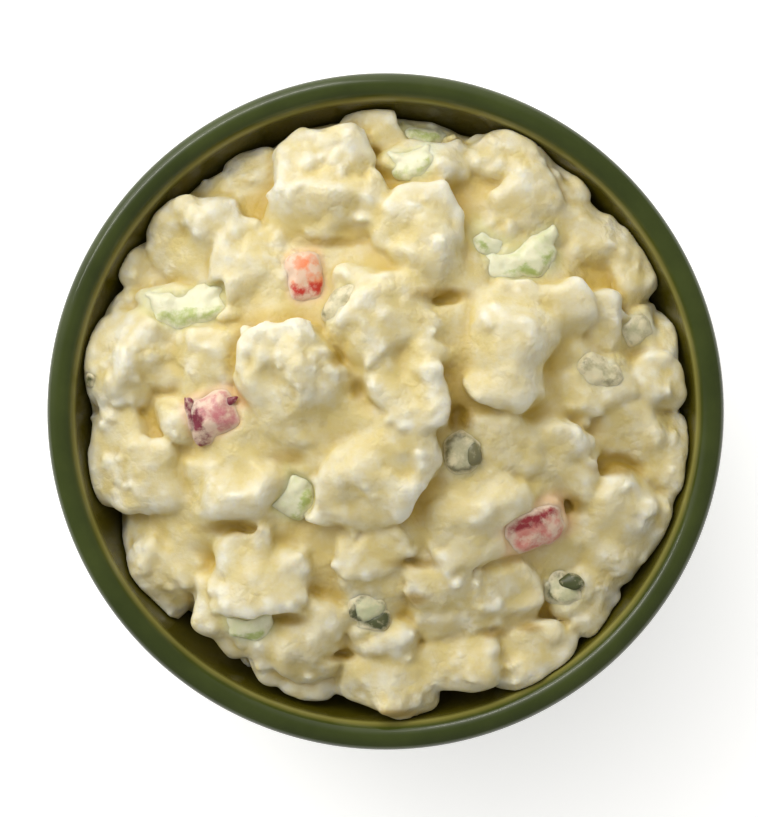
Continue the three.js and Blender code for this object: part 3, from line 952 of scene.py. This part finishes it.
GLAZE_OUTSIDE = (srgb(46, 56, 10), srgb(58, 68, 20))
GLAZE_INSIDE = (srgb(64, 60, 8), srgb(78, 72, 14))
GLAZE_THIN = srgb(132, 128, 66)
BARE_CLAY = srgb(196, 178, 146)
# CREAM is the dressing's own colour and also painted highlight on crests and tops; the two ambers
# are painted shade in hollows, creases and pits.
CREAM = srgb(217, 214, 196)
POTATO = srgb(206, 188, 118)
HOLLOW_SHADE_AMBER = srgb(188, 156, 44)
PIT_SHADE_AMBER = srgb(156, 126, 30)
STAIN_STRENGTH = 0.4
STAINS = {
    "pepper": srgb(226, 168, 134),
    "celery": srgb(202, 206, 148),
    "gherkin": srgb(196, 188, 142),
}
BIT_LOOKS = {  # skin and flesh each have a light and a deep colour
    "pepper": {
        "name": "red_pepper",
        "skin": (srgb(184, 48, 30), srgb(116, 30, 48)),
        "flesh": (srgb(226, 128, 76), srgb(186, 112, 116)),
        "film": srgb(218, 196, 172),
    },
    "celery": {
        "name": "celery",
        "skin": (srgb(172, 182, 112), srgb(146, 162, 82)),
        "flesh": (srgb(212, 212, 174), srgb(190, 198, 140)),
        "film": srgb(216, 214, 184),
    },
    "gherkin": {
        "name": "gherkin",
        "skin": (srgb(126, 120, 86), srgb(66, 72, 30)),
        "flesh": (srgb(166, 160, 124), srgb(186, 190, 150)),
        "film": srgb(212, 203, 168),
    },
}
CELL_SCALE = 620.0  # cells of broken potato a metre
CELL_BEND = 0.0022  # how far their walls are bent, in metres
CELL_BEND_SCALE = 500.0
GRAIN_SCALE = 1500.0


def glaze_material():
    s = Shader("green_glaze")
    mottle = s.noise(90.0, detail=4.0)
    outer = s.mix(s.remap(mottle, 0.35, 0.7), *GLAZE_OUTSIDE)
    inner = s.mix(s.remap(mottle, 0.3, 0.7), *GLAZE_INSIDE)
    colour = s.mix(s.attribute("inside"), outer, inner)
    thin = s.math("MULTIPLY", s.attribute("thin"), s.remap(mottle, 0.2, 0.7, 0.75, 1.0))
    colour = s.mix(thin, colour, GLAZE_THIN)
    colour = s.mix(s.attribute("bare"), colour, BARE_CLAY)
    return s.finish(
        base_color=colour,
        specular_ior_level=0.38,
        roughness=s.remap(s.attribute("bare"), 0, 1, 0.11, 0.8),
        normal=s.bump(s.noise(60.0, detail=2.0), distance=0.00012, strength=0.4),
    )


def dressing_colour(s):
    """Cream on the crumbs and in patches, potato yellow on the faces, and a tint of the coloured
    pieces round each. Cream is also painted highlight on the crests and raised tops, and amber is
    painted shade down in the gaps, creases and pits."""
    patches = s.remap(s.noise(260.0, detail=4.0), 0.4, 0.64, 0.1, 0.45)
    crumbs = s.math("MULTIPLY", s.attribute("crumb"), 0.3)
    # Painted highlight: cream on the crests and on tops that stand above their surroundings, added
    # to the dressing's own cream on crumbs and in patches.
    crest_highlight = s.remap(s.attribute("ridge"), 0.4, 1.0, 0, 0.25)
    light = s.math("ADD", s.math("ADD", patches, crumbs), crest_highlight)
    light = s.math("ADD", light, s.remap(s.attribute("rise"), 0.5, 1.0, 0, 0.5))
    colour = s.mix(s.remap(light, 0, 1), POTATO, CREAM)
    # Painted shade: amber where the surface lies below its surroundings, in hollows and creases.
    deep = s.remap(s.attribute("rise"), 0.42, 0.1, 0, 0.75)
    crease_shade = s.remap(s.attribute("ridge"), 0.42, 0.1, 0, 0.3)
    colour = s.mix(s.math("MAXIMUM", deep, crease_shade), colour, HOLLOW_SHADE_AMBER)
    # Painted shade: deeper amber down in the pits.
    colour = s.mix(s.math("MULTIPLY", s.attribute("pit"), 0.75), colour, PIT_SHADE_AMBER)
    for kind, tint in STAINS.items():
        colour = s.mix(s.math("MULTIPLY", s.attribute(kind), STAIN_STRENGTH), colour, tint)
    return colour


def potato_grain(s):
    """The height of the broken potato's fine grain: bent cells in patches, and finer noise."""
    inputs = {"Vector": s.place(), "Scale": CELL_BEND_SCALE, "Detail": 2.0}
    shift = s.add("ShaderNodeTexNoise", inputs).outputs["Color"]
    shift = s.add("ShaderNodeVectorMath", {0: shift, "Scale": CELL_BEND}, operation="SCALE")
    inputs = {0: s.place(), 1: shift.outputs[0]}
    bent = s.add("ShaderNodeVectorMath", inputs, operation="ADD").outputs[0]
    inputs = {"Vector": bent, "Scale": CELL_SCALE}
    cells = s.add("ShaderNodeTexVoronoi", inputs).outputs["Distance"]
    broken = s.remap(s.noise(170.0, detail=2.0), 0.42, 0.62, 0.1, 1.0)
    cells = s.math("MULTIPLY", s.remap(cells, 0.0, 0.8, 1.0, 0.0), broken)
    fine = s.math("MULTIPLY", s.noise(GRAIN_SCALE, detail=3.0, roughness=0.6), 0.5)
    return s.math("ADD", cells, fine)


def salad_material():
    s = Shader("dressed_potato")
    return s.finish(
        base_color=dressing_colour(s),
        subsurface_weight=0.85,
        subsurface_radius=(1.0, 0.9, 0.5),
        subsurface_scale=0.0018,
        roughness=s.remap(s.noise(420.0), 0.3, 0.7, 0.42, 0.6),
        specular_ior_level=0.5,
        normal=s.bump(potato_grain(s), distance=0.00045, strength=0.5),
        coat_weight=0.06,
        coat_roughness=0.2,
    )


def bit_material(name, skin, flesh, film):
    """A coloured piece: skin on its sides, flesh, and a broken film of dressing."""
    s = Shader(name)
    deep = s.attribute("deep")
    fleck = s.remap(s.noise(600.0, detail=4.0, roughness=0.65), 0.35, 0.65, 0.0, 0.3)
    body = s.mix(fleck, s.mix(deep, *flesh), film)
    edge = s.ragged(s.attribute("skin"), spread=0.35, scale=420.0, detail=4.0, roughness=0.65)
    edge = s.remap(edge, 0.3, 0.75)
    colour = s.mix(edge, body, s.mix(deep, *skin))
    smear = s.ragged(s.attribute("film"), spread=0.6, scale=330.0, detail=5.0, roughness=0.6)
    smear = s.math("SUBTRACT", smear, s.math("MULTIPLY", edge, 0.2))
    lapped = s.ragged(s.attribute("lapped"), spread=0.3, scale=800.0, detail=3.0, roughness=0.6)
    filmed = s.math(
        "MAXIMUM", s.remap(smear, 0.3, 0.75, 0.0, 0.85), s.remap(lapped, 0.1, 0.8, 0.0, 0.95)
    )
    grain = s.noise(700.0, detail=4.0, roughness=0.6)
    return s.finish(
        base_color=s.mix(filmed, colour, film),
        subsurface_weight=0.4,
        subsurface_radius=(1.0, 0.7, 0.45),
        subsurface_scale=0.001,
        roughness=0.4,
        coat_weight=0.15,
        coat_roughness=0.2,
        normal=s.bump(grain, distance=0.0003, strength=0.6),
    )


# ---- Putting it together ----
# Rise and ridge set where the cream painted highlight falls on tops and crests, and where the amber
# painted shade falls in hollows and creases.
RISE_BLUR = 3.2  # a point's rise is its height over the surface blurred by this
RISE_SPAN = 6.0
RIDGE_BLUR = 0.9
RIDGE_SPAN = 1.4
RISE_INSET = 1.5  # how far in from the heap's edge the rise starts to count, and is full
RISE_FADE = 4
FLOOR_HALF = 3.0
FLOOR_COLOURS = (srgb(246, 246, 245), srgb(250, 250, 249))
FLOOR_GLOW = 0.42
WHITE = srgb(255, 255, 255)


def build_bowl():
    points, inside, bare, thin = bowl_profile()
    attributes = {"inside": per_ring(inside), "bare": per_ring(bare), "thin": per_ring(thin)}
    piece = make_object("glazed_bowl", [lathe(points)], attributes, glaze_material())
    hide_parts("bowl")
    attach(piece, "root")


def dressing_attributes(field, points, crumbs, bits):
    """What the dressing's colour depends on, at each of its points."""
    heights = top_of(field)
    around = blur(heights, RISE_BLUR / VOXEL, (0, 1))
    close = blur(heights, RIDGE_BLUR / VOXEL, (0, 1))
    x, y, z = points[:, 0], points[:, 1], points[:, 2]
    rise = (z - sample(around, field, x, y)) / RISE_SPAN
    ridge = (z - sample(close, field, x, y)) / RIDGE_SPAN
    far_in = np.clip((edge_radius(x, y) - RISE_INSET - np.hypot(x, y)) / RISE_FADE, 0, 1)
    # rise and ridge carry the painted highlight and painted shade, and pit carries the painted
    # shade in the pits; crumb and the stains are the dressing's own colour.
    attributes = {
        "rise": 0.5 + np.clip(rise, -0.5, 0.5) * far_in,
        "ridge": np.clip(0.5 + ridge, 0, 1),
        "crumb": sample(crumbs, field, x, y),
        "pit": pit_share(x, y),
    }
    for kind in STAINS:
        shares = [stain(bit, points) for bit in bits if bit["kind"] == kind]
        attributes[kind] = np.max(shares, axis=0)
    return attributes


def build_bits(kind, bits, salad):
    """All the coloured pieces of a kind, as one object."""
    meshes = []
    columns = {"skin": [], "lapped": [], "deep": [], "film": []}
    for bit in bits:
        mesh, local, lapped = build_bit(bit, salad)
        meshes.append(mesh)
        columns["skin"].append(skin_share(bit, local))
        columns["lapped"].append(lapped)
        for key in ("deep", "film"):
            columns[key].append(np.full(len(local), bit[key]))
    attributes = {key: np.concatenate(values) for key, values in columns.items()}
    piece = make_object(kind + "_pieces", meshes, attributes, bit_material(**BIT_LOOKS[kind]))
    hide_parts("potato_salad")
    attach(piece, "root")


def build_salad():
    field, warp = sculpt_heap()
    lowest = int((BOWL_HEIGHT - RELIEF_DEPTH - field.low[2]) / VOXEL)
    top = (slice(None), slice(None), slice(lowest, None))
    crumbs = scatter_crumbs(field, blur(top_of(field), SURFACE_BLUR / VOXEL, (0, 1)))
    add_relief(field, top)
    heights = blur(top_of(field), SURFACE_BLUR / VOXEL, (0, 1))
    carve_pits(field, heights, warp)
    bits = lay_bits(field, heights)
    for bit in bits:
        if max(bit["half"]) > SKIN_BIT:
            bed_bit(field, bit)
    field.values[top] = blur(field.values[top], FILM / VOXEL, (0, 1, 2))
    x, y, z = field.axes()
    wall = wall_distance(np.hypot(x, y), z, WALL_CLEARANCE)
    field.values = soft_max(field.values, wall, WALL_BLEND)
    mesh = field.polygons(ADAPTIVITY)
    attributes = dressing_attributes(field, mesh[0], crumbs, bits)
    piece = make_object("dressed_potato", [mesh], attributes, salad_material())
    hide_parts("potato_salad")
    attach(piece, "root")
    for kind in BITS:
        build_bits(kind, [bit for bit in bits if bit["kind"] == kind], field)


def build_floor():
    half = FLOOR_HALF
    corners = [(-half, -half, 0), (half, -half, 0), (half, half, 0), (-half, half, 0)]
    mesh = bpy.data.meshes.new("floor")
    mesh.from_pydata(corners, [], [(0, 1, 2, 3)])
    s = Shader("pale_floor")
    material = s.finish(
        base_color=s.mix(s.noise(30.0), *FLOOR_COLOURS),
        roughness=0.7,
        emission_color=WHITE,
        emission_strength=FLOOR_GLOW,
    )
    mesh.materials.append(material)
    floor = bpy.data.objects.new("floor", mesh)
    bpy.context.scene.collection.objects.link(floor)


# ---- Light and camera ----
LIGHTS = [  # azimuth and tilt in degrees, distance and size in metres, power in watts
    {"name": "key_strip", "azimuth": 128, "tilt": 50, "distance": 1.0, "size": (0.9, 0.04),
     "power": 1.9, "colour": (1.0, 0.97, 0.92), "glossy": True},
    {"name": "key_soft", "azimuth": 122, "tilt": 54, "distance": 1.1, "size": (0.9, 0.7),
     "power": 3.3, "colour": (1.0, 0.98, 0.94), "glossy": True},
    {"name": "soft_top", "azimuth": 128, "tilt": 25, "distance": 1.2, "size": (1.6, 1.6),
     "power": 5.0, "colour": (1.0, 0.98, 0.95), "glossy": False},
]
WINDOW_AZIMUTH = 120  # the middle of the brightest part of the surroundings
WINDOW_TILT = 78
WINDOW_EDGE = 0.35  # the cosine of the angle from that middle at which it ends
WORLD_DIM = 0.45
WORLD_BRIGHT = 1.7
WORLD_COLOUR = (1.0, 0.99, 0.97, 1.0)


def direction(azimuth, tilt):
    """The direction with an azimuth from +X and a tilt from straight up, both in degrees."""
    azimuth, tilt = math.radians(azimuth), math.radians(tilt)
    level = math.sin(tilt)
    return Vector((level * math.cos(azimuth), level * math.sin(azimuth), math.cos(tilt)))


def area_light(name, azimuth, tilt, distance, size, power, colour, glossy):
    """A light on a sphere round the bowl's rim, facing it."""
    lamp = bpy.data.lights.new(name, "AREA")
    lamp.shape = "RECTANGLE"
    lamp.size, lamp.size_y = size
    lamp.energy = power
    lamp.color = colour
    item = bpy.data.objects.new(name, lamp)
    bpy.context.scene.collection.objects.link(item)
    out = direction(azimuth, tilt)
    item.location = Vector((0, 0, BOWL_HEIGHT * MM)) + out * distance
    item.rotation_euler = (-out).to_track_quat("-Z", "Y").to_euler()
    item.visible_glossy = glossy


def build_world():
    """Dim surroundings with one bright side, like a room with a window."""
    world = bpy.data.worlds.new("studio")
    world.use_nodes = True
    bpy.context.scene.world = world
    nodes, links = world.node_tree.nodes, world.node_tree.links
    place = nodes.new("ShaderNodeTexCoord")
    facing = nodes.new("ShaderNodeVectorMath")
    facing.operation = "DOT_PRODUCT"
    facing.inputs[1].default_value = direction(WINDOW_AZIMUTH, WINDOW_TILT)
    ramp = nodes.new("ShaderNodeMapRange")
    ramp.interpolation_type = "SMOOTHSTEP"
    ramp.inputs["From Min"].default_value = WINDOW_EDGE
    ramp.inputs["From Max"].default_value = 1.0
    ramp.inputs["To Min"].default_value = WORLD_DIM
    ramp.inputs["To Max"].default_value = WORLD_BRIGHT
    links.new(place.outputs["Generated"], facing.inputs[0])
    links.new(facing.outputs["Value"], ramp.inputs["Value"])
    links.new(ramp.outputs["Result"], nodes["Background"].inputs["Strength"])
    nodes["Background"].inputs["Color"].default_value = WORLD_COLOUR


CAMERA_DISTANCE = 0.7
PHOTO_WIDTH = 758
PHOTO_HEIGHT = 817
RIM_PIXELS = 339.4  # the rim's radius in the photo
CENTRE_PIXEL = (385.6, 411.4)
SENSOR = 36.0


def build_camera():
    metres_per_pixel = RIM_RADIUS * MM / RIM_PIXELS
    lens = bpy.data.cameras.new("camera")
    lens.sensor_width = SENSOR
    lens.lens = SENSOR * CAMERA_DISTANCE / (PHOTO_HEIGHT * metres_per_pixel)
    camera = bpy.data.objects.new("camera", lens)
    bpy.context.scene.collection.objects.link(camera)
    camera.location = (
        (PHOTO_WIDTH / 2 - CENTRE_PIXEL[0]) * metres_per_pixel,
        (CENTRE_PIXEL[1] - PHOTO_HEIGHT / 2) * metres_per_pixel,
        BOWL_HEIGHT * MM + CAMERA_DISTANCE,
    )
    bpy.context.scene.camera = camera


build_camera()
for light in LIGHTS:
    area_light(**light)
build_world()
build_floor()
build_bowl()
build_salad()
bpy.context.scene.view_settings.view_transform = "Standard"
